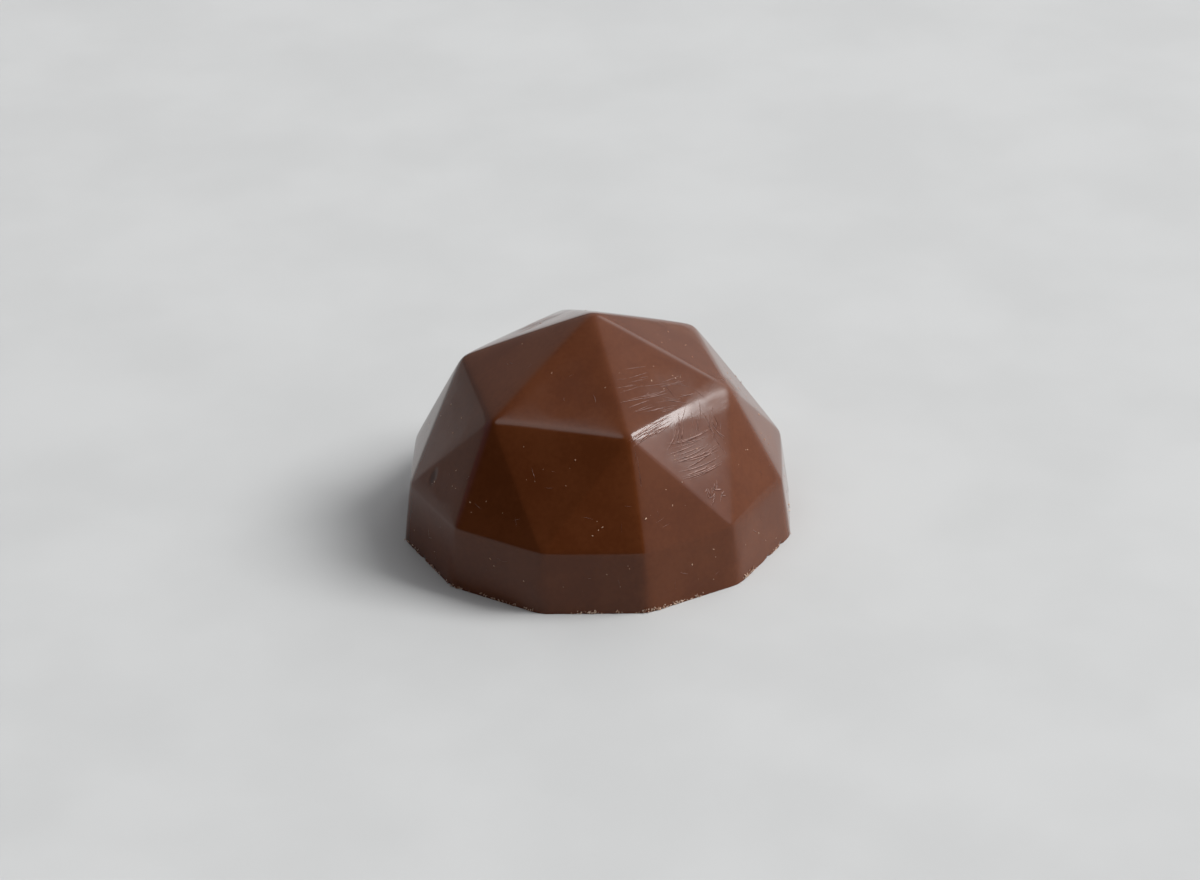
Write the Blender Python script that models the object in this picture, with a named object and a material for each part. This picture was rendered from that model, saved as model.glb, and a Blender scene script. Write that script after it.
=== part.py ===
"""Chocolate praline: a solid moulded gem that stands on a flat, twelve-sided base.

The form is a rose cut. Twelve slightly drafted sides rise from the base to the girdle. Above the
girdle, twelve steep facets and six sloping facets lean in to a ring of six crown corners, and six
star facets meet at the apex. Every edge above the base is rounded, as a mould leaves it.
"""

from math import cos, pi, radians, sin, tan

import bmesh
import bpy
from mathutils import Vector

# Driving dimensions, in metres. The radii run from the middle axis to the corners of each ring.
BASE_RADIUS = 0.0160
GIRDLE_RADIUS = 0.0154
GIRDLE_HEIGHT = 0.0050
CROWN_RADIUS = 0.0111
CROWN_HEIGHT = 0.0130
APEX_HEIGHT = 0.0184
EDGE_RADIUS = 0.0019
EDGE_SEGMENTS = 4

SIDES = 12
CROWN_CORNERS = SIDES // 2
SHARP_ANGLE = radians(40)

# Milk chocolate, tempered and glossy.
CHOCOLATE_COLOUR = (0.098, 0.027, 0.0085, 1.0)
CHOCOLATE_ROUGHNESS = 0.15


def clear_scene():
    """Remove every object that is already in the scene."""
    for old in list(bpy.data.objects):
        bpy.data.objects.remove(old, do_unlink=True)


def ring_points(count, radius, height):
    """Return the corners of a level regular ring, with the first one at the front, on -Y."""
    step = 2 * pi / count
    return [
        Vector((radius * sin(i * step), -radius * cos(i * step), height)) for i in range(count)
    ]


def add_ring(bm, count, radius, height):
    """Add the corners of a ring to the mesh and return its vertices."""
    return [bm.verts.new(point) for point in ring_points(count, radius, height)]


def add_sides(bm, base, girdle):
    """Close the base with one flat face and raise the drafted sides to the girdle."""
    bm.faces.new(list(reversed(base)))
    for i in range(SIDES):
        after = (i + 1) % SIDES
        bm.faces.new((base[i], base[after], girdle[after], girdle[i]))


def add_crown(bm, girdle, crown, apex):
    """Fill in the facets between the girdle, the crown corners and the apex."""
    for k in range(CROWN_CORNERS):
        under = 2 * k
        before = (under - 1) % SIDES
        after = under + 1
        neighbour = crown[(k + 1) % CROWN_CORNERS]
        bm.faces.new((girdle[before], girdle[under], crown[k]))
        bm.faces.new((girdle[under], girdle[after], crown[k]))
        bm.faces.new((girdle[after], neighbour, crown[k]))
        bm.faces.new((crown[k], neighbour, apex))


def round_setback(edge):
    """Return how far from this edge its rounding starts, which is 0 on the edges of the base."""
    if all(vert.co.z == 0 for vert in edge.verts):
        return 0.0
    return EDGE_RADIUS * tan(abs(edge.calc_face_angle()) / 2)


def weigh_edges(bm):
    """Weigh each edge by its setback, and return the setback that a weight of 1 stands for."""
    weight = bm.edges.layers.float.new("bevel_weight_edge")
    widest = max(round_setback(edge) for edge in bm.edges)
    for edge in bm.edges:
        edge[weight] = round_setback(edge) / widest
    return widest


def chocolate_material():
    """Return the material of glossy milk chocolate."""
    material = bpy.data.materials.new("chocolate")
    material.use_nodes = True
    shader = material.node_tree.nodes["Principled BSDF"]
    shader.inputs["Base Color"].default_value = CHOCOLATE_COLOUR
    shader.inputs["Roughness"].default_value = CHOCOLATE_ROUGHNESS
    shader.inputs["Metallic"].default_value = 0.0
    return material


def make_praline():
    """Build the praline, one closed solid with its edges rounded by a Bevel modifier."""
    bm = bmesh.new()
    base = add_ring(bm, SIDES, BASE_RADIUS, 0.0)
    girdle = add_ring(bm, SIDES, GIRDLE_RADIUS, GIRDLE_HEIGHT)
    crown = add_ring(bm, CROWN_CORNERS, CROWN_RADIUS, CROWN_HEIGHT)
    apex = bm.verts.new((0.0, 0.0, APEX_HEIGHT))
    add_sides(bm, base, girdle)
    add_crown(bm, girdle, crown, apex)
    bmesh.ops.recalc_face_normals(bm, faces=bm.faces)
    widest = weigh_edges(bm)

    mesh = bpy.data.meshes.new("praline")
    bm.to_mesh(mesh)
    bm.free()
    mesh.shade_smooth()
    mesh.set_sharp_from_angle(angle=SHARP_ANGLE)
    mesh.materials.append(chocolate_material())

    praline = bpy.data.objects.new("praline", mesh)
    bpy.context.scene.collection.objects.link(praline)
    rounding = praline.modifiers.new("edge rounding", "BEVEL")
    rounding.limit_method = "WEIGHT"
    rounding.offset_type = "OFFSET"
    rounding.width = widest
    rounding.segments = EDGE_SEGMENTS
    return praline


clear_scene()
make_praline()
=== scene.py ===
"""The looks of a moulded chocolate praline: a glossy rose cut with scuffs, dust and a scraped base."""

import logging
from collections.abc import Callable
from dataclasses import dataclass, field
from enum import Enum
from math import cos, pi, radians, sin, tan
from random import Random

import bmesh
import bpy
from bpy.types import Material, Node, NodeSocket, NodeTree, Object
from mathutils import Euler, Matrix, Vector
from mathutils.bvhtree import BVHTree


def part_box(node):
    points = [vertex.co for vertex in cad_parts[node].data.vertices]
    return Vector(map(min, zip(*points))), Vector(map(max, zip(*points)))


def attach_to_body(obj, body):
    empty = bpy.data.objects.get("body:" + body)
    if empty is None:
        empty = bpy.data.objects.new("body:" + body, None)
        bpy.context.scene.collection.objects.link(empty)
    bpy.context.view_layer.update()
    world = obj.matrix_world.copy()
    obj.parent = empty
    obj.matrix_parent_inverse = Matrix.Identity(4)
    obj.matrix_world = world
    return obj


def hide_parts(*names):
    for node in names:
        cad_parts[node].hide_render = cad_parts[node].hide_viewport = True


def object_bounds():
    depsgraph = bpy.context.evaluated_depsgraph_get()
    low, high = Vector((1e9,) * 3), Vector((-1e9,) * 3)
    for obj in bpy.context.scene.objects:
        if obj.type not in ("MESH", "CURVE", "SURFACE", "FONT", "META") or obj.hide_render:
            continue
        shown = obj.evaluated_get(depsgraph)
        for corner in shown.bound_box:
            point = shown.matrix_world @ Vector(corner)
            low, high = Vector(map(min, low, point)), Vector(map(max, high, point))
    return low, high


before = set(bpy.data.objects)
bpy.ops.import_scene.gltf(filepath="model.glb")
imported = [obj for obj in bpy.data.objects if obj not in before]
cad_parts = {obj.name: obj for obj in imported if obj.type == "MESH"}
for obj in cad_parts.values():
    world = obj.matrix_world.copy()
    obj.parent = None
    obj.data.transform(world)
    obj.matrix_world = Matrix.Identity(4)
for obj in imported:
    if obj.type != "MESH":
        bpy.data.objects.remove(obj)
CAD_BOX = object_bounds()

NODE = "praline"
BODY = "root"
MM = 0.001

log = logging.getLogger("praline")

Colour = tuple[float, float, float, float]
Value = NodeSocket | Vector | Colour | float


def deselect_all() -> None:
    """Leave object mode with nothing selected, because operators act on all that is."""
    if bpy.context.mode != "OBJECT":
        bpy.ops.object.mode_set(mode="OBJECT")
    bpy.ops.object.select_all(action="DESELECT")


def activate(piece: Object) -> None:
    """Make one object the only one that is selected, and the active one.

    Args:
        piece: The object that the next operators act on.
    """
    deselect_all()
    piece.select_set(True)
    bpy.context.view_layer.objects.active = piece


def apply_modifiers(piece: Object) -> None:
    """Apply every modifier of an object, in order.

    Args:
        piece: The object whose modifiers become part of its mesh.
    """
    activate(piece)
    for modifier in list(piece.modifiers):
        bpy.ops.object.modifier_apply(modifier=modifier.name)


def in_front_of(turn: float, radius: float, height: float) -> Vector:
    """Find a point from its turn about the upright axis.

    Args:
        turn: The angle from -Y towards +X, in radians.
        radius: The distance from the axis.
        height: The height above the base.

    Returns:
        The point, in metres.
    """
    return Vector((radius * sin(turn), -radius * cos(turn), height))


class Facet(Enum):
    """The kinds of facet on the gem, from the foot to the top."""

    SIDE = "side"
    STEEP = "steep"
    SLOPING = "sloping"
    STAR = "star"


@dataclass(frozen=True)
class Patch:
    """A flat place on the gem: its middle, the way it faces, and its upward direction.

    Attributes:
        middle: The middle of the facet.
        normal: The outward unit normal.
        uphill: The unit direction in the facet that climbs most.
    """

    middle: Vector
    normal: Vector
    uphill: Vector

    def rotation(self) -> Euler:
        """Return the turn that lays X along the facet, Y uphill and Z along its normal."""
        across = self.uphill.cross(self.normal).normalized()
        axes = Matrix((across, self.uphill, self.normal)).transposed()
        return axes.to_euler("XYZ")

    def point(self, across: float, up: float) -> Vector:
        """Find a point of the facet's plane.

        Args:
            across: The distance along the level direction of the facet.
            up: The distance uphill.

        Returns:
            The point, in metres.
        """
        level = self.uphill.cross(self.normal).normalized()
        return self.middle + level * across + self.uphill * up


def patch_through(corners: list[Vector]) -> Patch:
    """Work out the flat place that spans some corners.

    Args:
        corners: Three or more corners of one plane, anticlockwise seen from outside.

    Returns:
        The patch in their middle.
    """
    middle = sum(corners, Vector()) / len(corners)
    normal = (corners[1] - corners[0]).cross(corners[2] - corners[0]).normalized()
    uphill = (Vector((0, 0, 1)) - normal * normal.z).normalized()
    return Patch(middle, normal, uphill)


@dataclass
class GemForm:
    """The sizes of the rose cut, as shares of the radius to its base corners.

    Attributes:
        base_radius: The distance from the axis to a corner of the base, in metres.
        edge_radius: The radius of the rounding along each edge, in metres.
        sides: The number of sides of the base.
        girdle_radius: The share to a corner where the sides end.
        girdle_height: The height of that corner, as a share.
        crown_radius: The share to one of the upper corners.
        crown_height: The height of an upper corner, as a share.
        apex_height: The height of the sharp apex, as a share.
    """

    base_radius: float
    edge_radius: float = 1.9 * MM
    sides: int = 12
    girdle_radius: float = 0.9625
    girdle_height: float = 0.3125
    crown_radius: float = 0.69375
    crown_height: float = 0.8125
    apex_height: float = 1.15

    @property
    def step(self) -> float:
        """Return the turn from one side to the next."""
        return 2 * pi / self.sides

    def base(self, i: int) -> Vector:
        """Return corner i of the base."""
        return in_front_of(i * self.step, self.base_radius, 0.0)

    def girdle(self, i: int) -> Vector:
        """Return corner i of the girdle, where the sides end."""
        return in_front_of(
            i * self.step, self.girdle_radius * self.base_radius, self.girdle_height * self.base_radius
        )

    def crown(self, k: int) -> Vector:
        """Return corner k of the upper ring, which stands over girdle corner 2k."""
        return in_front_of(
            2 * k * self.step, self.crown_radius * self.base_radius, self.crown_height * self.base_radius
        )

    def apex(self) -> Vector:
        """Return the sharp apex."""
        return Vector((0, 0, self.apex_height * self.base_radius))

    def facet(self, kind: Facet, k: int) -> Patch:
        """Work out where one facet lies.

        Args:
            kind: The kind of facet.
            k: Its number, counted from the front towards +X.

        Returns:
            The facet's middle and directions.
        """
        if kind is Facet.SIDE:
            corners = [self.base(k), self.base(k + 1), self.girdle(k + 1), self.girdle(k)]
        elif kind is Facet.STEEP:
            corners = [self.girdle(k), self.girdle(k + 1), self.crown((k + 1) // 2)]
        elif kind is Facet.SLOPING:
            corners = [self.girdle(2 * k + 1), self.crown(k + 1), self.crown(k)]
        else:
            corners = [self.crown(k), self.crown(k + 1), self.apex()]
        return patch_through(corners)

    def numbered_facets(self) -> list[tuple[Facet, int]]:
        """Return the kind and the number of every facet, from the foot to the top."""
        round_the_gem = {
            Facet.SIDE: self.sides,
            Facet.STEEP: self.sides,
            Facet.SLOPING: self.sides // 2,
            Facet.STAR: self.sides // 2,
        }
        return [(kind, k) for kind, total in round_the_gem.items() for k in range(total)]

    def cuts(self) -> list[Patch]:
        """Return the planes that cut the gem's facets out of a drafted prism."""
        steep = [self.facet(Facet.STEEP, i) for i in range(self.sides)]
        sloping = [self.facet(Facet.SLOPING, k) for k in range(self.sides // 2)]
        star = [self.facet(Facet.STAR, k) for k in range(self.sides // 2)]
        return steep + sloping + star


@dataclass
class PralineBody:
    """The moulded body: a drafted prism with its facets cut, its edges rounded and its rim worn.

    Attributes:
        form: The sizes of the rose cut.
        hold: How far inside each facet the loop lies that keeps it flat, in metres.
        rim_cuts: The cuts along each side of the base, which the chips need.
        smoothing: The levels of Catmull-Clark smoothing.
        waviness: The unevenness of the facets from cooling, in metres.
        wave_length: The size of its swells, in metres.
        raggedness: The unevenness of the scraped rim, in metres.
        rag_length: The size of its notches, in metres.
        rim_height: The height up to which the rim is uneven, in metres.
        chips: How many chips the rim has.
        chip_seed: The seed of their places.
        chip_reach: The least and the greatest reach of a chip, in millimetres.
        chip_depth: The least and the greatest depth, as a share of its reach.
    """

    form: GemForm
    hold: float = 0.4 * MM
    rim_cuts: int = 6
    smoothing: int = 3
    waviness: float = 0.010 * MM
    wave_length: float = 5.0 * MM
    raggedness: float = 0.07 * MM
    rag_length: float = 0.5 * MM
    rim_height: float = 0.25 * MM
    chips: int = 26
    chip_seed: int = 7
    chip_reach: tuple[float, float] = (0.15, 0.38)
    chip_depth: tuple[float, float] = (0.3, 0.8)

    def build(self) -> Object:
        """Model the body.

        Returns:
            The finished body, with its place in its mesh.
        """
        body = self.drafted_prism()
        self.cut_facets(body)
        self.round_edges(body)
        self.hold_facets(body)
        self.smooth(body)
        self.make_uneven(body)
        self.chip_rim(body)
        activate(body)
        bpy.ops.object.shade_smooth_by_angle(angle=radians(38))
        return body

    def drafted_prism(self) -> Object:
        """Make the prism that the facets are cut from, drafted as the sides are.

        Returns:
            The prism.
        """
        form = self.form
        height = form.apex().z
        deselect_all()
        bpy.ops.mesh.primitive_cylinder_add(
            vertices=form.sides, radius=form.base_radius, depth=height, location=(0, 0, height / 2)
        )
        prism = bpy.context.view_layer.objects.active
        prism.name = prism.data.name = "praline_body"
        bpy.ops.object.transform_apply(location=True, rotation=True, scale=True)
        bpy.ops.object.mode_set(mode="EDIT")
        self.select_vertices(prism, lambda point: point.z > height / 2)
        narrowing = 1 - (1 - form.girdle_radius) / form.girdle_height * form.apex_height
        bpy.ops.transform.resize(value=(narrowing, narrowing, 1), center_override=(0, 0, height))
        bpy.ops.object.mode_set(mode="OBJECT")
        return prism

    def select_vertices(self, piece: Object, wanted: Callable[[Vector], bool]) -> None:
        """Select, in edit mode, the vertices at some places.

        Args:
            piece: The object in edit mode.
            wanted: A test that says whether a vertex at a point is selected.
        """
        bpy.ops.mesh.select_mode(type="VERT")
        bpy.ops.mesh.select_all(action="DESELECT")
        bm = bmesh.from_edit_mesh(piece.data)
        for vert in bm.verts:
            vert.select_set(wanted(vert.co))
        bm.select_flush(True)
        bmesh.update_edit_mesh(piece.data)

    def cut_facets(self, body: Object) -> None:
        """Cut each facet off the prism with a plane, and tidy the corners where planes meet.

        Args:
            body: The prism.
        """
        weld = 0.02 * MM
        activate(body)
        bpy.ops.object.mode_set(mode="EDIT")
        for plane in self.form.cuts():
            bpy.ops.mesh.select_all(action="SELECT")
            bpy.ops.mesh.bisect(
                plane_co=plane.middle,
                plane_no=plane.normal,
                use_fill=True,
                clear_outer=True,
                threshold=0.1 * weld,
            )
        bpy.ops.mesh.select_all(action="SELECT")
        bpy.ops.mesh.remove_doubles(threshold=weld)
        bpy.ops.mesh.dissolve_degenerate(threshold=weld)
        bpy.ops.mesh.dissolve_limited(angle_limit=radians(1))
        bpy.ops.mesh.normals_make_consistent(inside=False)
        bpy.ops.object.mode_set(mode="OBJECT")
        facets = 3 * self.form.sides + 1
        if len(body.data.polygons) != facets:
            raise RuntimeError(f"the cut gem has {len(body.data.polygons)} faces, not {facets}")

    def round_edges(self, body: Object) -> None:
        """Round every edge above the base to one radius.

        Args:
            body: The cut gem.
        """
        bm = bmesh.new()
        bm.from_mesh(body.data)
        weight = bm.edges.layers.float.new("bevel_weight_edge")
        setbacks = {}
        for edge in bm.edges:
            on_base = all(abs(vert.co.z) < 0.01 * MM for vert in edge.verts)
            turn = 0.0 if on_base else edge.calc_face_angle()
            setbacks[edge] = self.form.edge_radius * tan(turn / 2)
        widest = max(setbacks.values())
        for edge, setback in setbacks.items():
            edge[weight] = setback / widest
        bm.to_mesh(body.data)
        bm.free()
        rounding = body.modifiers.new("rounding", "BEVEL")
        rounding.limit_method = "WEIGHT"
        rounding.offset_type = "OFFSET"
        rounding.width = widest
        rounding.segments = 2
        apply_modifiers(body)

    def hold_facets(self, body: Object) -> None:
        """Inset each flat facet, cut the rim finer, and crease the edge of the base.

        Args:
            body: The rounded gem.
        """
        least_area = 8 * MM * MM
        activate(body)
        bpy.ops.object.mode_set(mode="EDIT")
        bpy.ops.mesh.select_mode(type="FACE")
        bpy.ops.mesh.select_all(action="DESELECT")
        bm = bmesh.from_edit_mesh(body.data)
        for face in bm.faces:
            face.select_set(face.calc_area() > least_area)
        bmesh.update_edit_mesh(body.data)
        bpy.ops.mesh.inset(thickness=self.hold, use_individual=True)
        bpy.ops.mesh.select_mode(type="EDGE")
        bpy.ops.mesh.select_all(action="DESELECT")
        bm = bmesh.from_edit_mesh(body.data)
        layers = bm.edges.layers.float
        crease = layers.get("crease_edge") or layers.new("crease_edge")
        reach = self.form.base_radius * cos(self.form.step / 2) - 2 * self.hold
        for edge in bm.edges:
            low = all(vert.co.z < 1.5 * self.hold for vert in edge.verts)
            outer = all(vert.co.xy.length > reach for vert in edge.verts)
            edge.select_set(low and outer and edge.calc_length() > 2 * self.hold)
            if low and len({face.normal.z < -0.5 for face in edge.link_faces}) == 2:
                edge[crease] = 1.0
        bmesh.update_edit_mesh(body.data)
        bpy.ops.mesh.subdivide(number_cuts=self.rim_cuts)
        bpy.ops.object.mode_set(mode="OBJECT")

    def smooth(self, body: Object) -> None:
        """Smooth the gem's edges and corners.

        Args:
            body: The gem with its holding loops.
        """
        subdivision = body.modifiers.new("smoothing", "SUBSURF")
        subdivision.levels = subdivision.render_levels = self.smoothing
        apply_modifiers(body)

    def make_uneven(self, body: Object) -> None:
        """Give the facets the slight swells of a cooled casting, and the rim its scraped line.

        Args:
            body: The smoothed gem.
        """
        walls = body.vertex_groups.new(name="walls")
        rim = body.vertex_groups.new(name="rim")
        fade = 4 * self.rim_height
        inner = self.form.base_radius * cos(self.form.step / 2) - self.rim_height
        for vert in body.data.vertices:
            height = vert.co.z
            walls.add([vert.index], min(1.0, height / fade), "REPLACE")
            ragged = 0.0 if vert.co.xy.length < inner else max(0.0, 1 - height / self.rim_height)
            rim.add([vert.index], ragged, "REPLACE")
        for name, depth, length in (
            ("walls", self.waviness, self.wave_length),
            ("rim", self.raggedness, self.rag_length),
        ):
            clouds = bpy.data.textures.new(name, "CLOUDS")
            clouds.noise_scale = length
            uneven = body.modifiers.new(name, "DISPLACE")
            uneven.texture = clouds
            uneven.texture_coords = "LOCAL"
            uneven.vertex_group = name
            uneven.strength = depth
            uneven.mid_level = 0.5
        apply_modifiers(body)

    def chip_rim(self, body: Object) -> None:
        """Break small chips out of the rim, and keep the base flat.

        Args:
            body: The uneven gem.
        """
        random = Random(self.chip_seed)
        chips = []
        for _ in range(self.chips):
            side = random.randrange(self.form.sides)
            start, end = self.form.base(side), self.form.base(side + 1)
            place = start.lerp(end, random.uniform(0.04, 0.96))
            chips.append((place, random.uniform(*self.chip_reach) * MM, random.uniform(*self.chip_depth)))
        for vert in body.data.vertices:
            if vert.co.z > 1.0 * MM:
                continue
            for place, reach, depth in chips:
                away = (vert.co - place).length
                if away < reach:
                    push = depth * (1 - away / reach) * reach * 0.5
                    inward = Vector((-place.x, -place.y, 0)).normalized()
                    vert.co += (inward + Vector((0, 0, 0.5))) * push
            vert.co.z = max(0.0, vert.co.z)


class Nodes:
    """A node tree, with short calls for the nodes that finishes and the room need."""

    def __init__(self, tree: NodeTree) -> None:
        """Take a tree to add nodes to.

        Args:
            tree: The node tree of a material or of the world.
        """
        self.tree = tree

    def node(self, kind: str, **settings) -> Node:
        """Add a node.

        Args:
            kind: The node's type.
            **settings: Its properties.

        Returns:
            The new node.
        """
        made = self.tree.nodes.new(kind)
        for name, value in settings.items():
            setattr(made, name, value)
        return made

    def feed(self, socket: NodeSocket, value: Value) -> None:
        """Link a socket to another, or give it a constant.

        Args:
            socket: The input.
            value: An output socket, a number, a colour or a vector.
        """
        if isinstance(value, NodeSocket):
            self.tree.links.new(value, socket)
        else:
            socket.default_value = value

    def maths(self, operation: str, first: Value, second: Value = 0.0) -> NodeSocket:
        """Combine two numbers.

        Args:
            operation: The Math node's operation.
            first: A socket or a number.
            second: A socket or a number.

        Returns:
            The result.
        """
        made = self.node("ShaderNodeMath", operation=operation)
        self.feed(made.inputs[0], first)
        self.feed(made.inputs[1], second)
        return made.outputs[0]

    def ramp(
        self, value: Value, low: float, high: float, start: float = 0.0, end: float = 1.0
    ) -> NodeSocket:
        """Map a range of numbers smoothly to another.

        Args:
            value: The input.
            low: The input that gives start.
            high: The input that gives end.
            start: The result at low.
            end: The result at high.

        Returns:
            The mapped number.
        """
        made = self.node("ShaderNodeMapRange", interpolation_type="SMOOTHSTEP")
        for name, number in (("Value", value), ("From Min", low), ("From Max", high)):
            self.feed(made.inputs[name], number)
        self.feed(made.inputs["To Min"], start)
        self.feed(made.inputs["To Max"], end)
        return made.outputs["Result"]

    def noise(self, coordinates: NodeSocket, scale: float, detail: float = 2.0) -> NodeSocket:
        """Add smooth noise.

        Args:
            coordinates: Where it is read.
            scale: Its swells for each unit of the coordinates.
            detail: Its finer layers.

        Returns:
            The noise, from 0 to 1.
        """
        made = self.node("ShaderNodeTexNoise")
        self.feed(made.inputs["Vector"], coordinates)
        self.feed(made.inputs["Scale"], scale)
        self.feed(made.inputs["Detail"], detail)
        return made.outputs["Fac"]

    def mix(self, factor: Value, first: Value, second: Value) -> NodeSocket:
        """Mix two colours.

        Args:
            factor: The share of the second colour.
            first: The first colour.
            second: The second colour.

        Returns:
            The mixed colour.
        """
        made = self.node("ShaderNodeMix", data_type="RGBA")
        self.feed(made.inputs["Factor"], factor)
        self.feed(made.inputs["A"], first)
        self.feed(made.inputs["B"], second)
        return made.outputs["Result"]

    def split(self, vector: NodeSocket) -> tuple[NodeSocket, NodeSocket, NodeSocket]:
        """Return a vector's three numbers."""
        made = self.node("ShaderNodeSeparateXYZ")
        self.feed(made.inputs[0], vector)
        return made.outputs[0], made.outputs[1], made.outputs[2]

    def join(self, x: Value, y: Value, z: Value = 0.0) -> NodeSocket:
        """Return the vector of three numbers."""
        made = self.node("ShaderNodeCombineXYZ")
        for socket, value in zip(made.inputs, (x, y, z)):
            self.feed(socket, value)
        return made.outputs[0]

    def vector(
        self, operation: str, first: Value, second: Value, third: Value = (0.0, 0.0, 0.0)
    ) -> NodeSocket:
        """Combine vectors or colours.

        Args:
            operation: The Vector Math node's operation.
            first: The first vector.
            second: The second vector.
            third: The third vector, for the operations that take one.

        Returns:
            The result, a number for a dot product.
        """
        made = self.node("ShaderNodeVectorMath", operation=operation)
        for socket, value in zip(made.inputs, (first, second, third)):
            self.feed(socket, value)
        return made.outputs["Value" if operation == "DOT_PRODUCT" else "Vector"]


class NodeBook(Nodes):
    """A material's nodes, round one Principled shader."""

    def __init__(self, name: str) -> None:
        """Start a material.

        Args:
            name: The material's name.
        """
        self.material: Material = bpy.data.materials.new(name)
        self.material.use_nodes = True
        super().__init__(self.material.node_tree)
        self.shader: Node = self.tree.nodes["Principled BSDF"]
        self.place: NodeSocket = self.node("ShaderNodeTexCoord").outputs["Object"]

    def local(self, patch: Patch) -> NodeSocket:
        """Read places in a facet's own directions: across, uphill and out.

        Args:
            patch: The facet.

        Returns:
            The place in metres from the facet's middle.
        """
        made = self.node("ShaderNodeMapping", vector_type="TEXTURE")
        self.feed(made.inputs["Vector"], self.place)
        self.feed(made.inputs["Location"], patch.middle)
        self.feed(made.inputs["Rotation"], patch.rotation())
        return made.outputs["Vector"]

    def bump(self, height: NodeSocket, depth: float, over: NodeSocket | None = None) -> NodeSocket:
        """Raise the surface by a height.

        Args:
            height: The height, from 0 to 1.
            depth: What 1 stands for, in metres.
            over: The normal of a bump below this one.

        Returns:
            The new normal.
        """
        made = self.node("ShaderNodeBump")
        self.feed(made.inputs["Strength"], 1.0)
        self.feed(made.inputs["Distance"], depth)
        self.feed(made.inputs["Height"], height)
        if over is not None:
            self.feed(made.inputs["Normal"], over)
        return made.outputs["Normal"]


@dataclass(frozen=True)
class Spot:
    """A round place on one facet: a dimple, or an area where the gloss is worn.

    Attributes:
        kind: The kind of facet.
        number: The facet's number.
        offset: Its middle, across and up from the facet's middle, in metres.
        reach: Its half width and half height, in metres.
        strength: The share in its middle.
    """

    kind: Facet
    number: int
    offset: tuple[float, float]
    reach: tuple[float, float]
    strength: float = 1.0

    def share(self, book: NodeBook, form: GemForm, ragged: float) -> NodeSocket:
        """Shade the spot.

        Args:
            book: The material's nodes.
            form: The sizes of the rose cut.
            ragged: How uneven its outline is, as a share of its size.

        Returns:
            Its strength in its middle, falling to 0 at its outline.
        """
        facet = form.facet(self.kind, self.number)
        centre = Patch(facet.point(*self.offset), facet.normal, facet.uphill)
        across, up, out = book.split(book.local(centre))
        squares = 0.0
        for away, reach in ((across, self.reach[0]), (up, self.reach[1]), (out, max(self.reach))):
            scaled = book.maths("DIVIDE", away, reach)
            squares = book.maths("ADD", squares, book.maths("MULTIPLY", scaled, scaled))
        edge = book.maths("MULTIPLY", book.noise(book.place, 900.0, 2.0), ragged)
        return book.ramp(book.maths("ADD", squares, edge), 0.0, 1.0 + ragged / 2, self.strength, 0.0)


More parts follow.
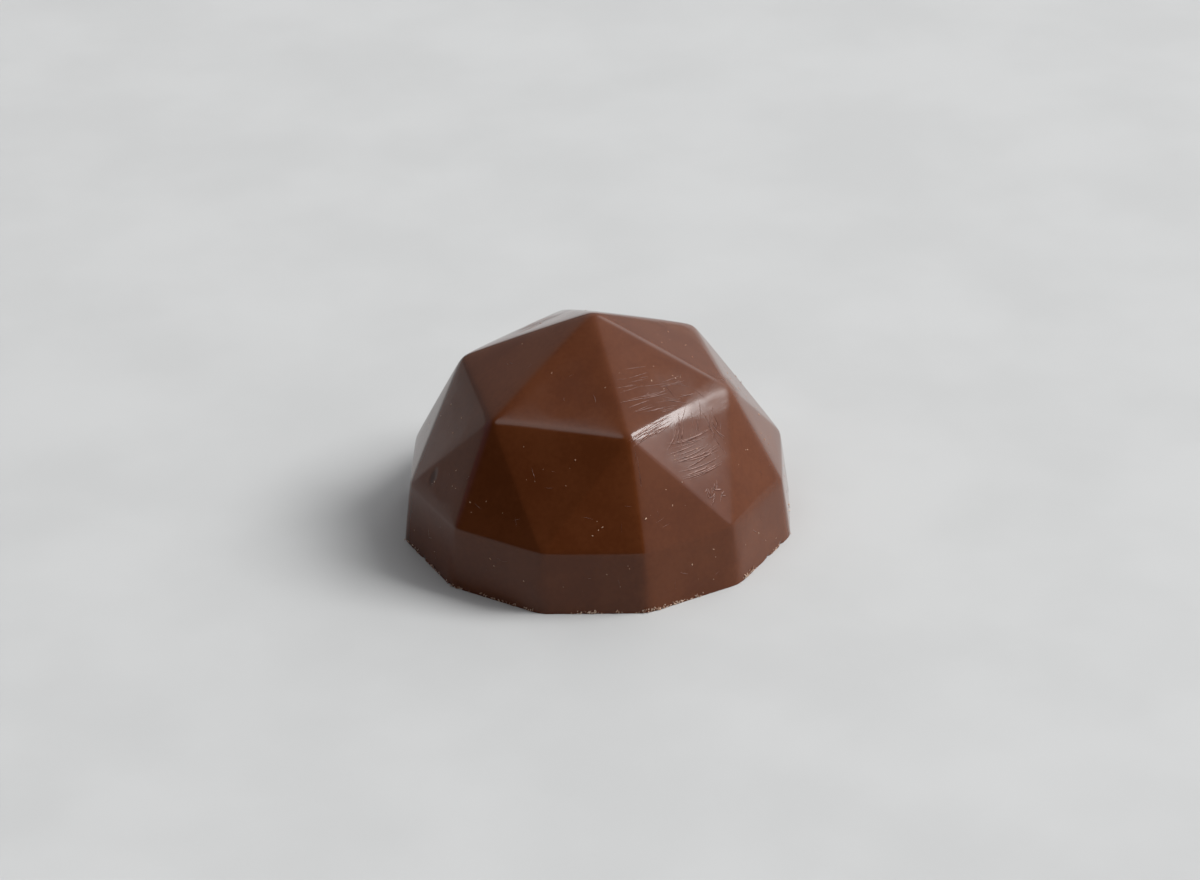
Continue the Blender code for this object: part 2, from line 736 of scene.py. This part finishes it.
@dataclass(frozen=True)
class MilkChocolate:
    """The glossy face that a polished mould gives tempered milk chocolate.

    Attributes:
        dark: The darker tone of its colour.
        light: The lighter tone.
        gloss: The roughness of clean chocolate.
        haze: What the faint haze adds to it.
        worn: What wear adds to it.
        refraction: The index of refraction of its surface.
        dimple_depth: The depth of a dimple, in metres.
        dimple_painted_shade: The painted shade in it, a darker colour as if the hollow were shaded.
        streak: The length and the width of the rubbed streaks in the worn places, in metres.
        streak_depth: Their depth, in metres.
    """

    dark: Colour = (0.088, 0.0232, 0.0070, 1.0)
    light: Colour = (0.107, 0.0305, 0.0100, 1.0)
    gloss: float = 0.075
    haze: float = 0.055
    worn: float = 0.16
    refraction: float = 1.365
    dimple_depth: float = 0.012 * MM
    # Painted shade for the dimples, darker than the chocolate.
    dimple_painted_shade: Colour = (0.045, 0.012, 0.005, 1.0)
    streak: tuple[float, float] = (2.6 * MM, 0.42 * MM)
    streak_depth: float = 0.007 * MM

    worn_spots: tuple[Spot, ...] = (
        Spot(Facet.SLOPING, 0, (4.7 * MM, 3.2 * MM), (5.4 * MM, 1.6 * MM), 2.3),
        Spot(Facet.SLOPING, 0, (-0.4 * MM, -0.6 * MM), (3.6 * MM, 2.4 * MM)),
        Spot(Facet.STAR, 0, (0.6 * MM, -1.4 * MM), (4.0 * MM, 2.4 * MM)),
        Spot(Facet.SLOPING, 3, (0.5 * MM, 0.4 * MM), (3.6 * MM, 2.6 * MM)),
        Spot(Facet.STAR, 3, (-0.8 * MM, -1.0 * MM), (3.4 * MM, 2.0 * MM)),
    )
    dimples: tuple[Spot, ...] = (
        Spot(Facet.STEEP, 9, (-2.3 * MM, -1.0 * MM), (0.55 * MM, 1.0 * MM)),
        Spot(Facet.STEEP, 5, (0.9 * MM, -0.6 * MM), (0.7 * MM, 0.5 * MM)),
        Spot(Facet.SLOPING, 2, (-1.1 * MM, 0.9 * MM), (0.6 * MM, 0.8 * MM)),
    )

    def together(
        self, spots: tuple[Spot, ...], book: NodeBook, form: GemForm, ragged: float
    ) -> NodeSocket:
        """Shade several spots at once.

        Args:
            spots: The spots.
            book: The material's nodes.
            form: The sizes of the rose cut.
            ragged: How uneven their outlines are.

        Returns:
            The greatest of their shares.
        """
        most: Value = 0.0
        for spot in spots:
            most = book.maths("MAXIMUM", most, spot.share(book, form, ragged))
        return most

    def material(self, form: GemForm) -> Material:
        """Make the material.

        Args:
            form: The sizes of the rose cut, which place the worn spots.

        Returns:
            The material.
        """
        book = NodeBook("moulded_milk_chocolate")
        bloom = book.noise(book.place, 260.0, 3.0)
        mottle = book.noise(book.place, 2600.0, 3.0)
        fine = book.maths("MULTIPLY", mottle, 0.3)
        tone = book.maths("ADD", book.maths("MULTIPLY", bloom, 0.7), fine)
        dimples = self.together(self.dimples, book, form, 0.2)
        clean = book.mix(book.ramp(tone, 0.35, 0.65), self.dark, self.light)
        # Painted shade: the dimples' colour is darkened, as if the hollows were shaded.
        book.feed(book.shader.inputs["Base Color"], book.mix(dimples, clean, self.dimple_painted_shade))

        wear = self.together(self.worn_spots, book, form, 0.8)
        clouds = book.noise(book.place, 700.0, 4.0)
        cloudy = book.ramp(clouds, 0.35, 0.75, self.gloss, self.gloss + self.haze)
        rough = book.maths("ADD", cloudy, book.maths("MULTIPLY", wear, self.worn))
        book.feed(book.shader.inputs["Roughness"], rough)
        book.feed(book.shader.inputs["IOR"], self.refraction)

        across, up, _ = book.split(book.local(form.facet(Facet.SLOPING, 0)))
        length, width = self.streak
        along = book.join(book.maths("DIVIDE", across, length), book.maths("DIVIDE", up, width))
        rubbed = book.maths("MULTIPLY", book.noise(along, 1.0, 3.0), wear)
        skin = book.bump(book.noise(book.place, 900.0, 3.0), 0.005 * MM)
        skin = book.bump(rubbed, self.streak_depth, skin)
        hollow = book.maths("SUBTRACT", 1.0, dimples)
        book.feed(book.shader.inputs["Normal"], book.bump(hollow, self.dimple_depth, skin))
        return book.material


@dataclass(frozen=True)
class ScrapedChocolate:
    """The dull underside, levelled with a scraper when the mould was filled.

    Attributes:
        dark: The tone in the scraper's furrows.
        light: The tone between them.
        furrow: The distance between furrows, in metres.
        drag: The length of a furrow, in those distances.
    """

    dark: Colour = (0.090, 0.026, 0.0095, 1.0)
    light: Colour = (0.150, 0.050, 0.021, 1.0)
    furrow: float = 0.6 * MM
    drag: float = 12.0

    def material(self) -> Material:
        """Make the material.

        Returns:
            The material.
        """
        book = NodeBook("scraped_milk_chocolate")
        x, y, _ = book.split(book.place)
        lengthwise = book.maths("DIVIDE", x, self.drag * self.furrow)
        drag = book.join(lengthwise, book.maths("DIVIDE", y, self.furrow))
        furrows = book.noise(drag, 1.0, 4.0)
        colour = book.mix(book.ramp(furrows, 0.3, 0.7), self.dark, self.light)
        book.feed(book.shader.inputs["Base Color"], colour)
        book.feed(book.shader.inputs["Roughness"], book.ramp(furrows, 0.3, 0.7, 0.42, 0.6))
        pits = book.ramp(book.noise(book.place, 1400.0, 1.0), 0.22, 0.32)
        relief = book.bump(furrows, 0.05 * MM, book.bump(pits, 0.06 * MM))
        book.feed(book.shader.inputs["Normal"], relief)
        return book.material


@dataclass(frozen=True)
class PaleFloor:
    """The plain floor, a matt pale grey with the faintest clouds.

    Attributes:
        dark: The darker tone.
        light: The lighter tone.
        rough: The roughness.
    """

    dark: Colour = (0.485, 0.49, 0.485, 1.0)
    light: Colour = (0.515, 0.52, 0.515, 1.0)
    rough: float = 0.7

    def material(self) -> Material:
        """Make the material.

        Returns:
            The material.
        """
        book = NodeBook("pale_floor")
        clouds = book.ramp(book.noise(book.place, 60.0, 3.0), 0.3, 0.7)
        book.feed(book.shader.inputs["Base Color"], book.mix(clouds, self.dark, self.light))
        book.feed(book.shader.inputs["Roughness"], self.rough)
        return book.material


@dataclass(frozen=True)
class BrokenChocolateAndPaintedLight:
    """The pale matt look of crumbs and flakes where the chocolate has broken; also the scratch ridges,
    pale partly from a painted highlight, and the furrows, dark with painted shade.

    Attributes:
        dark: The darker tone.
        light: The lighter tone.
        rough: The roughness.
        shine: The specular level.
    """

    dark: Colour
    light: Colour
    rough: float
    shine: float = 0.5

    def material(self, name: str) -> Material:
        """Make the material.

        Args:
            name: The material's name.

        Returns:
            The material.
        """
        book = NodeBook(name)
        tone = book.ramp(book.noise(book.place, 3000.0, 2.0), 0.35, 0.65)
        book.feed(book.shader.inputs["Base Color"], book.mix(tone, self.dark, self.light))
        book.feed(book.shader.inputs["Roughness"], self.rough)
        book.feed(book.shader.inputs["Specular IOR Level"], self.shine)
        book.feed(book.shader.inputs["Normal"], book.bump(tone, 0.01 * MM))
        return book.material


# The ridges' pale pinkish colour is partly scuffed chocolate and partly a painted highlight, as if they
# caught the window light.
RIDGE_SCUFF_AND_PAINTED_HIGHLIGHT = BrokenChocolateAndPaintedLight(dark=(0.19, 0.092, 0.064, 1.0), light=(0.33, 0.19, 0.15, 1.0), rough=0.34)
# Painted shade: the furrows' dark, dull colour stands in for the shade in a scratch's groove.
FURROW_PAINTED_SHADE = BrokenChocolateAndPaintedLight(
    dark=(0.060, 0.016, 0.008, 1.0), light=(0.095, 0.027, 0.014, 1.0), rough=0.6, shine=0.15
)
DUST = BrokenChocolateAndPaintedLight(dark=(0.28, 0.13, 0.07, 1.0), light=(0.56, 0.37, 0.25, 1.0), rough=0.6)
FLAKE = BrokenChocolateAndPaintedLight(dark=(0.24, 0.12, 0.065, 1.0), light=(0.58, 0.42, 0.31, 1.0), rough=0.5)


@dataclass
class Scatter:
    """Small things that lie on the praline or at its foot, joined into one piece.

    Attributes:
        name: The piece's name.
        material: The finish of each.
        seed: The seed of their places and sizes.
    """

    name: str
    material: Material
    seed: int
    grains: list[Object] = field(default_factory=list)

    def grain(self, size: Vector, place: Vector, normal: Vector, random: Random) -> None:
        """Model one grain: a dented lump, pressed flat on the surface that it lies on.

        Args:
            size: Its half width, half length and half thickness, in metres.
            place: Where it lies.
            normal: The direction out of that surface.
            random: The source of its dents and its turn.
        """
        deselect_all()
        bpy.ops.mesh.primitive_ico_sphere_add(subdivisions=1, radius=1.0)
        lump = bpy.context.view_layer.objects.active
        bpy.ops.object.mode_set(mode="EDIT")
        seed = random.randrange(9999)
        bpy.ops.transform.vertex_random(offset=0.35, uniform=0.5, normal=0.5, seed=seed)
        bpy.ops.object.mode_set(mode="OBJECT")
        spin = Matrix.Rotation(random.uniform(0, 2 * pi), 3, "Z")
        turn = normal.to_track_quat("Z", "Y").to_matrix() @ spin
        stretch = Matrix.Diagonal(size)
        lump.data.transform(Matrix.Translation(place) @ (turn @ stretch).to_4x4())
        self.grains.append(lump)

    def join(self) -> Object:
        """Join the grains.

        Returns:
            The piece.
        """
        deselect_all()
        for lump in self.grains:
            lump.select_set(True)
        bpy.context.view_layer.objects.active = self.grains[0]
        bpy.ops.object.join()
        piece = bpy.context.view_layer.objects.active
        bpy.ops.object.transform_apply(location=True, rotation=True, scale=True)
        piece.name = piece.data.name = self.name
        piece.data.materials.clear()
        piece.data.materials.append(self.material)
        bpy.ops.object.shade_flat()
        return piece


@dataclass
class SurfaceSpecks:
    """The specks of chocolate dust that cling to the facets.

    Attributes:
        form: The sizes of the rose cut.
        fewest: The fewest specks that a facet has.
        count: The number that each facet's specks stay below.
        narrow_reach: How far across a steep facet they lie from its middle, in metres.
        wide_reach: How far across the other facets, in metres.
        rise: How far up or down, in metres.
        sizes: The least and the greatest half width, in metres.
        coarse: How many times wider a coarse speck is.
        coarse_share: The share of coarse specks.
        stretch: The least and the greatest length, in widths.
        flatness: The thickness, in widths.
    """

    form: GemForm
    fewest: int = 2
    count: int = 8
    narrow_reach: float = 2.2 * MM
    wide_reach: float = 2.8 * MM
    rise: float = 1.6 * MM
    sizes: tuple[float, float] = (0.020 * MM, 0.050 * MM)
    coarse: float = 1.4
    coarse_share: float = 0.2
    stretch: tuple[float, float] = (0.8, 2.4)
    flatness: float = 0.6

    def build(self) -> Object:
        """Model the specks.

        Returns:
            The piece.
        """
        paint = DUST.material("chocolate_dust")
        specks = Scatter("surface_specks", paint, 11)
        random = Random(specks.seed)
        for kind, k in self.form.numbered_facets():
            patch = self.form.facet(kind, k)
            reach = self.narrow_reach if kind is Facet.STEEP else self.wide_reach
            for _ in range(random.randrange(self.fewest, self.count)):
                across = random.uniform(-reach, reach)
                place = patch.point(across, random.uniform(-self.rise, self.rise))
                half = random.uniform(*self.sizes)
                half *= self.coarse if random.random() < self.coarse_share else 1.0
                size = Vector((half, half * random.uniform(*self.stretch), half * self.flatness))
                specks.grain(size, place, patch.normal, random)
        return specks.join()


@dataclass
class RimFlakes:
    """The thin flakes of flash that were scraped off at the edge of the base.

    Attributes:
        form: The sizes of the rose cut.
        clumps: How many clumps of flakes there are all round.
        crowd: The number that each clump's flakes stay below.
        corner: The least distance from a clump to a corner, as a share of a side.
        huddle: The spread of a clump along its side, as a share of it.
        stand: How far out from the side a flake may lie, in millimetres.
        climb: The spread of the flakes up the side, in millimetres.
        lengths: The least and the greatest half length, in millimetres.
        widths: The least and the greatest half width, in millimetres.
        thickness: The least and the greatest half thickness, in millimetres.
        tilts: How far a flake's flat face may turn down or up.
    """

    form: GemForm
    clumps: int = 90
    crowd: int = 9
    corner: float = 0.04
    huddle: float = 0.04
    stand: tuple[float, float] = (-0.03, 0.06)
    climb: float = 0.12
    lengths: tuple[float, float] = (0.04, 0.15)
    widths: tuple[float, float] = (0.02, 0.06)
    thickness: tuple[float, float] = (0.012, 0.030)
    tilts: tuple[float, float] = (-0.1, 0.9)

    def build(self) -> Object:
        """Model the flakes.

        Returns:
            The piece.
        """
        paint = FLAKE.material("chocolate_flakes")
        flakes = Scatter("rim_flakes", paint, 5)
        random = Random(flakes.seed)
        for _ in range(self.clumps):
            side = random.randrange(self.form.sides)
            start, end = self.form.base(side), self.form.base(side + 1)
            outward = Vector((start.x + end.x, start.y + end.y, 0)).normalized()
            middle = random.uniform(self.corner, 1 - self.corner)
            for _ in range(random.randrange(1, self.crowd)):
                along = min(0.99, max(0.01, middle + random.gauss(0, self.huddle)))
                spot = start.lerp(end, along) + outward * random.uniform(*self.stand) * MM
                thick = random.uniform(*self.thickness) * MM
                halves = (random.uniform(*self.lengths), random.uniform(*self.widths), thick / MM)
                size = Vector(halves) * MM
                lean = (outward + Vector((0, 0, random.uniform(*self.tilts)))).normalized()
                height = abs(random.gauss(0, self.climb)) * MM + 2 * thick
                flakes.grain(size, spot + Vector((0, 0, height)), lean, random)
        piece = flakes.join()
        for vert in piece.data.vertices:
            vert.co.z = max(0.0, vert.co.z)
        return piece


@dataclass(frozen=True)
class Strokes:
    """One family of scratches on a facet, which lie in much the same direction.

    Attributes:
        kind: The kind of facet.
        number: The facet's number.
        middle: The middle of the family, across and up from the facet's middle, in millimetres.
        spread: How far from it the scratches' middles lie, across and up, in millimetres.
        heading: Their direction from level, anticlockwise, in degrees.
        wander: How much that varies, in degrees.
        length: The least and the greatest length, in millimetres.
        bend: How far a scratch turns over each millimetre, in degrees.
        count: How many there are.
        width: The half width of the widest, in millimetres.
    """

    kind: Facet
    number: int
    middle: tuple[float, float]
    spread: tuple[float, float]
    heading: float
    wander: float
    length: tuple[float, float]
    bend: float
    count: int
    width: float

    def arcs(self, form: GemForm, random: Random) -> list[list[Vector]]:
        """Lay the family out in the plane of its facet.

        Args:
            form: The sizes of the rose cut.
            random: The source of their places.

        Returns:
            The points of each scratch.
        """
        steps = 10
        facet = form.facet(self.kind, self.number)
        found = []
        for _ in range(self.count):
            x = self.middle[0] + random.uniform(-1, 1) * self.spread[0]
            y = self.middle[1] + random.uniform(-1, 1) * self.spread[1]
            stride = random.uniform(*self.length) / steps
            bend = radians(self.bend) * stride * random.uniform(0.5, 1.5)
            heading = radians(self.heading + random.gauss(0, self.wander)) - bend * steps / 2
            x -= cos(heading) * stride * steps / 2
            y -= sin(heading) * stride * steps / 2
            points = []
            for _ in range(steps + 1):
                points.append(facet.point(x * MM, y * MM))
                x += cos(heading) * stride
                y += sin(heading) * stride
                heading += bend
            found.append(points)
        return found


@dataclass
class FineScratches:
    """The hairline scratches on the facets, each with the low ridge that it has thrown up, pale partly
    from scuffing and partly from a painted highlight, and a dark furrow of painted shade beside it.

    Attributes:
        form: The sizes of the rose cut.
        body: The finished body, which the scratches follow.
        seed: The seed of their places.
        families: The families of scratches.
        stray: How many single scratches each facet has.
        sides: How finely each tube is rounded.
        sunk: How deep each tube's axis lies, as a share of its radius.
        beside: How far downhill of its ridge each furrow of painted shade lies, as a share of its half
            width.
        wider: How many times wider than its ridge each furrow of painted shade is.
        tip: The half width at the ends of a scratch, as a share of its half width.
    """

    form: GemForm
    body: Object
    seed: int = 3
    families: tuple[Strokes, ...] = (
        Strokes(Facet.SLOPING, 0, (-0.7, -0.5), (0.7, 1.5), -3.0, 4.0, (2.2, 5.0), 4.5, 22, 0.032),
        Strokes(Facet.SLOPING, 0, (0.4, 1.9), (3.0, 0.8), 62.0, 12.0, (1.2, 3.0), 14.0, 18, 0.028),
        Strokes(Facet.SLOPING, 0, (2.6, 0.6), (0.7, 1.2), 96.0, 26.0, (0.5, 1.8), -8.0, 9, 0.026),
        Strokes(Facet.SLOPING, 0, (-3.2, 3.0), (1.4, 0.4), 2.0, 7.0, (1.4, 3.6), 2.0, 18, 0.024),
        Strokes(Facet.SLOPING, 0, (-0.2, -3.6), (0.9, 0.6), 24.0, 50.0, (0.2, 0.9), 0.0, 22, 0.032),
        Strokes(Facet.STAR, 0, (-0.8, -1.9), (2.6, 1.4), -13.0, 5.0, (1.4, 4.0), 1.0, 20, 0.020),
        Strokes(Facet.STAR, 0, (1.6, -2.2), (1.6, 1.0), -60.0, 16.0, (0.8, 2.2), 2.0, 8, 0.020),
        Strokes(Facet.STAR, 0, (-1.0, 0.8), (1.6, 1.0), -10.0, 8.0, (0.8, 2.2), 0.0, 8, 0.014),
        Strokes(Facet.STEEP, 0, (-1.7, 3.2), (0.12, 1.2), 82.0, 3.0, (0.8, 2.0), 0.0, 4, 0.018),
        Strokes(Facet.SLOPING, 3, (0.2, 0.2), (1.8, 1.8), 8.0, 9.0, (1.2, 3.6), 3.0, 9, 0.017),
        Strokes(Facet.STAR, 3, (-0.4, -1.0), (2.2, 1.6), -9.0, 8.0, (1.0, 3.0), 1.0, 8, 0.014),
    )
    stray: int = 3
    sides: int = 2
    sunk: float = 0.45
    beside: float = 2.3
    wider: float = 1.35
    tip: float = 0.15

    def all_arcs(self, random: Random) -> list[tuple[list[Vector], float]]:
        """List every scratch, the families first and then a few strays on each facet.

        Args:
            random: The source of their places.

        Returns:
            The points of each scratch, with its half width in metres.
        """
        strays = []
        for facet in self.form.numbered_facets():
            strays.append(
                Strokes(*facet, (0.0, 0.0), (2.4, 1.4), 0.0, 90.0, (0.2, 0.9), 25.0, self.stray, 0.012)
            )
        found = []
        for family in (*self.families, *strays):
            for arc in family.arcs(self.form, random):
                found.append((arc, family.width * MM * random.uniform(0.5, 1.0)))
        return found

    def build(self, name: str, material: Material, beside: float, wider: float) -> Object:
        """Model the scratches as fine tubes sunk in the surface, as pale ridges, partly painted
        highlight, or as dark furrows of painted shade, after the finish given.

        Args:
            name: The piece's name.
            material: Its finish.
            beside: How far downhill of each scratch its tube lies, as a share of its half width.
            wider: How many times wider than the scratch the tube is.

        Returns:
            The piece.
        """
        surface = BVHTree.FromObject(self.body, bpy.context.evaluated_depsgraph_get())
        curve = bpy.data.curves.new(name, "CURVE")
        curve.dimensions = "3D"
        curve.bevel_depth = 1.0
        curve.bevel_resolution = self.sides
        curve.use_fill_caps = True
        for points, width in self.all_arcs(Random(self.seed)):
            line = curve.splines.new("POLY")
            line.points.add(len(points) - 1)
            for i, (target, point) in enumerate(zip(line.points, points)):
                spot, normal, _, _ = surface.find_nearest(point)
                radius = width * wider * max(self.tip, sin(pi * i / (len(points) - 1)))
                downhill = normal.cross(normal.cross(Vector((0, 0, 1)))).normalized()
                target.co = (*(spot + downhill * beside * width - normal * self.sunk * radius), 1.0)
                target.radius = radius
        piece = bpy.data.objects.new(name, curve)
        bpy.context.scene.collection.objects.link(piece)
        activate(piece)
        bpy.ops.object.convert(target="MESH")
        piece = bpy.context.view_layer.objects.active
        piece.name = piece.data.name = name
        bpy.ops.object.shade_smooth()
        piece.data.materials.append(material)
        return piece


@dataclass(frozen=True)
class Glow:
    """One soft patch of light in the room.

    Attributes:
        turn: Its turn from -Y towards +X, in degrees.
        rise: Its height above the horizon, in degrees.
        core: The half angle of its bright middle, in degrees.
        reach: The half angle where it ends.
        strength: The radiance of its middle.
        colour: Its colour.
    """

    turn: float
    rise: float
    core: float
    reach: float
    strength: float
    colour: tuple[float, float, float] = (0.97, 0.98, 1.0)

    def over(self, below: Value, nodes: Nodes, way: NodeSocket) -> NodeSocket:
        """Add the patch to the light of others.

        Args:
            below: The light of the others.
            nodes: The world's nodes.
            way: The direction that is looked in.

        Returns:
            The light of them all.
        """
        aim = in_front_of(radians(self.turn), cos(radians(self.rise)), sin(radians(self.rise)))
        toward = nodes.vector("DOT_PRODUCT", way, aim)
        share = nodes.ramp(toward, cos(radians(self.reach)), cos(radians(self.core)))
        return nodes.vector("MULTIPLY_ADD", share, Vector(self.colour) * self.strength, below)


@dataclass
class Studio:
    """The plain pale floor, the window light and the camera.

    Attributes:
        middle: The middle of the base, where the camera's path starts.
        distance: The distance from the camera to it, in metres.
        turn: The camera's turn from -Y towards +X, in degrees.
        elevation: Its height above the horizon, in degrees.
        aim: Its small turns sideways, upward and round its own axis, in degrees.
        lens: Its focal length, in millimetres.
        window_turn: The turn of the window's lamp, in degrees.
        window_rise: Its height above the horizon, in degrees.
        window_away: Its distance, in metres.
        window_roll: Its turn round its own axis, in degrees.
        window_size: Its length and width, in metres.
        window_radiance: The brightness of its face.
        horizon: The radiance of the room at the horizon.
        horizon_rise: The sines of the heights between which it fades.
        glows: The soft patches of light in the room.
    """

    middle: Vector
    distance: float = 0.29558
    turn: float = -12.93
    elevation: float = 30.9
    aim: tuple[float, float, float] = (-0.0565, 1.1167, -1.6426)
    lens: float = 109.42
    window_turn: float = 80.5
    window_rise: float = 43.0
    window_away: float = 5.0
    window_roll: float = 45.0
    window_size: tuple[float, float] = (2.5, 1.9)
    window_radiance: float = 16.8
    horizon: float = 0.36
    horizon_rise: tuple[float, float] = (0.065, 0.11)
    glows: tuple[Glow, ...] = (
        Glow(120, 45, 0, 75, 0.50),
        Glow(105, 40, 5, 40, 0.60),
        Glow(50, 8, 8, 40, 0.75),
        Glow(110, 5, 10, 45, 0.36),
        Glow(-150, 26, 0, 40, 0.18),
        Glow(180, 20, 0, 45, 0.12),
        Glow(-115, 8, 5, 35, 0.20, (1.0, 0.58, 0.95)),
        Glow(-78, 64, 4, 20, 1.8),
        Glow(68, 33, 2, 10, 2.2),
        Glow(78, 44, 5, 22, 1.6),
        Glow(133, 31, 2, 18, 1.3),
        Glow(62, 24, 3, 15, 1.0, (1.0, 0.86, 0.92)),
    )

    def build(self) -> None:
        """Set up the stage."""
        self.camera()
        self.floor()
        self.window()
        self.surroundings()
        bpy.context.scene.view_settings.view_transform = "Standard"

    def camera(self) -> None:
        """Place the camera."""
        turn, rise = radians(self.turn), radians(self.elevation)
        back = Vector((sin(turn) * cos(rise), -cos(turn) * cos(rise), sin(rise)))
        right = Vector((cos(turn), sin(turn), 0))
        axes = Matrix((right, back.cross(right), back)).transposed()
        for angle, axis in zip(self.aim, "YXZ"):
            axes = axes @ Matrix.Rotation(radians(angle), 3, axis)
        data = bpy.data.cameras.new("camera")
        data.lens = self.lens
        data.sensor_width = 36.0
        data.clip_start = 0.01
        eye = bpy.data.objects.new("camera", data)
        eye.matrix_world = Matrix.Translation(self.middle + back * self.distance) @ axes.to_4x4()
        bpy.context.scene.collection.objects.link(eye)
        bpy.context.scene.camera = eye

    def floor(self) -> None:
        """Lay the floor just under the base."""
        deselect_all()
        bpy.ops.mesh.primitive_plane_add(size=4.0, location=(0, 0, self.middle.z - 0.01 * MM))
        plane = bpy.context.view_layer.objects.active
        plane.name = "floor"
        plane.data.materials.append(PaleFloor().material())

    def window(self) -> None:
        """Hang the window: one soft lamp, high on the right."""
        turn, rise, away = radians(self.window_turn), radians(self.window_rise), self.window_away
        data = bpy.data.lights.new("window", "AREA")
        data.shape = "RECTANGLE"
        data.size, data.size_y = self.window_size
        data.energy = self.window_radiance * pi * data.size * data.size_y
        lamp = bpy.data.objects.new("window", data)
        direction = in_front_of(turn, cos(rise), sin(rise))
        lamp.location = self.middle + direction * away
        facing = direction.to_track_quat("Z", "Y").to_matrix()
        lamp.rotation_euler = (facing @ Matrix.Rotation(radians(self.window_roll), 3, "Z")).to_euler()
        bpy.context.scene.collection.objects.link(lamp)

    def surroundings(self) -> None:
        """Light the rest of the room with soft patches, and keep its horizon pale."""
        world = bpy.data.worlds.new("room")
        bpy.context.scene.world = world
        world.use_nodes = True
        nodes = Nodes(world.node_tree)
        way = nodes.node("ShaderNodeTexCoord").outputs["Generated"]
        light: Value = (0.0, 0.0, 0.0)
        for glow in self.glows:
            light = glow.over(light, nodes, way)
        _, _, height = nodes.split(way)
        horizon = nodes.ramp(height, *self.horizon_rise, self.horizon, 0.0)
        light = nodes.vector("MAXIMUM", light, nodes.join(horizon, horizon, horizon))
        nodes.feed(world.node_tree.nodes["Background"].inputs["Color"], light)


def gem_form() -> GemForm:
    """Work out the gem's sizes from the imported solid, whose base corners are rounded.

    Returns:
        The sizes.
    """
    low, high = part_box(NODE)
    half_turn = pi / GemForm.sides
    rounded_off = GemForm.edge_radius * (1 / cos(half_turn) - 1)
    return GemForm(base_radius=(high.x - low.x) / 2 + rounded_off)


def dress_body(body: Object, form: GemForm) -> None:
    """Give the body its glossy walls and its scraped base.

    Args:
        body: The finished body.
        form: The sizes of the rose cut.
    """
    body.data.materials.clear()
    body.data.materials.append(MilkChocolate().material(form))
    body.data.materials.append(ScrapedChocolate().material())
    for polygon in body.data.polygons:
        polygon.material_index = 1 if polygon.normal.z < -0.9 else 0


def attach(piece: Object) -> None:
    """Make a piece ride on the praline, and log how many faces it has.

    Args:
        piece: A finished piece.
    """
    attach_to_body(piece, BODY)
    log.info("%s: %d faces", piece.name, len(piece.data.polygons))


def main() -> None:
    """Build and dress every piece, then set the stage."""
    logging.basicConfig(level=logging.INFO)
    form = gem_form()
    body = PralineBody(form).build()
    dress_body(body, form)
    attach(body)
    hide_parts(NODE)
    scratches = FineScratches(form, body)
    # Each scratch's ridge is pale, partly from scuffing and partly from a painted highlight.
    attach(scratches.build("ridges_scuffed_and_painted_highlight", RIDGE_SCUFF_AND_PAINTED_HIGHLIGHT.material("ridge_scuff_and_painted_highlight"), 0.0, 1.0))
    # The furrows are dark tubes of painted shade beside the ridges.
    furrow_shade_paint = FURROW_PAINTED_SHADE.material("furrow_painted_shade")
    attach(scratches.build("furrows_painted_shade", furrow_shade_paint, scratches.beside, scratches.wider))
    attach(SurfaceSpecks(form).build())
    attach(RimFlakes(form).build())
    Studio(middle=Vector((0, 0, CAD_BOX[0].z))).build()


if __name__ == "__main__":
    main()
